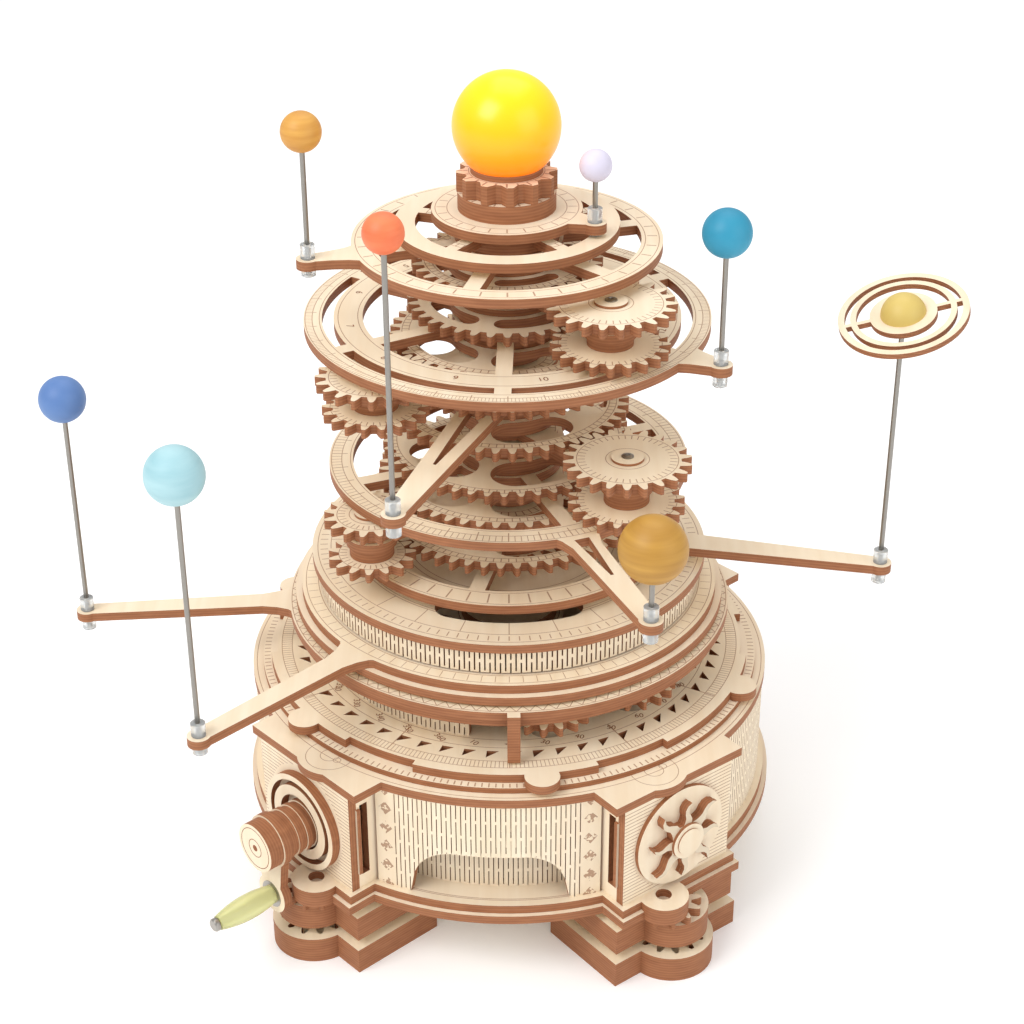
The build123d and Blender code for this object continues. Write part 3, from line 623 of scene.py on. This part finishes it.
# ---------------------------------------------------------------- engraved numbers, screws on the columns
ink = plain("burnt_ink", BURN, 0.8, speck=0.2)


def engraved(name, words, radius, angle, z, size, body, turn=0.0):
    """Flat burnt-in number, read from outside the dial."""
    text = bpy.data.curves.new(name, "FONT")
    text.body, text.size = words, size * MM
    text.align_x, text.align_y = "CENTER", "CENTER"
    maker = bpy.data.objects.new(name + "_text", text)
    bpy.context.scene.collection.objects.link(maker)
    mesh = bpy.data.meshes.new_from_object(maker.evaluated_get(bpy.context.evaluated_depsgraph_get()))
    bpy.data.objects.remove(maker)
    spin = Matrix.Rotation(math.radians(angle + 90 + turn), 4, "Z")
    mesh.transform(Matrix.Translation(on_axis(radius, angle, z + 0.06)) @ spin)
    mesh.materials.clear()
    obj = new_object(name, mesh, ink, body)
    return obj


for k in range(36):
    engraved(f"dial_number_{k}", str(10 * (k + 1)), 64.2, -100.0 + 10.0 * k, 75.0, 3.0, "base", -35.0)
for k in range(12):
    engraved(f"earth_number_{k}", str(k + 1), 49.5, 30.0 * k + 12.0, 193.7, 3.4, "earth")
screw_steel = plain("screw_steel", lin(150, 144, 136), 0.3, 1.0, speck=0.1, scale=1500.0)
# columns 0 and 1 run just under Saturn's and Jupiter's rings, with no room for a screw head
for k in (2, 3, 4):
    x, y, _ = joints[f"column_{k}_turn"]["pos_m"]
    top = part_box(f"column_{k}")[1].z / MM
    head = lathe(f"column_screw_{k}", ((0, top - 0.1), (1.9, top - 0.1), (1.9, top + 0.25), (1.2, top + 0.6),
                                       (0.7, top + 0.6), (0.6, top + 0.3), (0, top + 0.3)),
                 Vector((x, y, 0)), screw_steel, f"column_{k}", steps=32)

# ---------------------------------------------------------------- stage, light and camera
bpy.ops.mesh.primitive_plane_add(size=12, location=(0, 0, 0))
floor = bpy.context.object
floor.name = "floor"
floor_mat = bpy.data.materials.new("floor_white")
floor_mat.use_nodes = True
floor_mat.node_tree.nodes["Principled BSDF"].inputs["Base Color"].default_value = (0.97, 0.97, 0.97, 1)
floor_mat.node_tree.nodes["Principled BSDF"].inputs["Roughness"].default_value = 0.9
floor_mat.node_tree.nodes["Principled BSDF"].inputs["Emission Color"].default_value = (1, 1, 1, 1)
floor_mat.node_tree.nodes["Principled BSDF"].inputs["Emission Strength"].default_value = 0.1
floor.data.materials.append(floor_mat)

world = bpy.data.worlds.new("studio")
world.use_nodes = True
world.node_tree.nodes["Background"].inputs[0].default_value = (1, 1, 1, 1)
world.node_tree.nodes["Background"].inputs[1].default_value = 0.62
bpy.context.scene.world = world


def area(name, place, aim, size, power):
    light = bpy.data.lights.new(name, "AREA")
    light.size, light.energy = size, power
    obj = bpy.data.objects.new(name, light)
    bpy.context.scene.collection.objects.link(obj)
    obj.location = place
    obj.rotation_euler = (Vector(aim) - Vector(place)).to_track_quat("-Z", "Y").to_euler()


area("key", (-0.9, -0.7, 1.3), (0, 0, 0.1), 0.9, 15)
area("fill", (1.1, -0.9, 0.8), (0, 0, 0.1), 1.2, 6)
area("top", (0.1, 0.5, 1.5), (0, 0, 0.1), 1.2, 7)

camera_data = bpy.data.cameras.new("camera")
camera_data.lens, camera_data.sensor_width = 73.93, 36.0
camera = bpy.data.objects.new("camera", camera_data)
bpy.context.scene.collection.objects.link(camera)
pitch, yaw, roll = math.radians(29.54), math.radians(0.11), math.radians(-0.24)
forward = Vector((math.sin(yaw) * math.cos(pitch), math.cos(yaw) * math.cos(pitch), -math.sin(pitch)))
side = Vector((math.cos(yaw), -math.sin(yaw), 0))
over = side.cross(forward)
right = side * math.cos(roll) + over * math.sin(roll)
upward = over * math.cos(roll) - side * math.sin(roll)
place = Matrix((right, upward, -forward)).transposed().to_4x4()
place.translation = Vector((AXIS[0], AXIS[1] - 0.6, 0.462))
camera.matrix_world = place
bpy.context.scene.camera = camera
bpy.context.scene.view_settings.view_transform = "Standard"
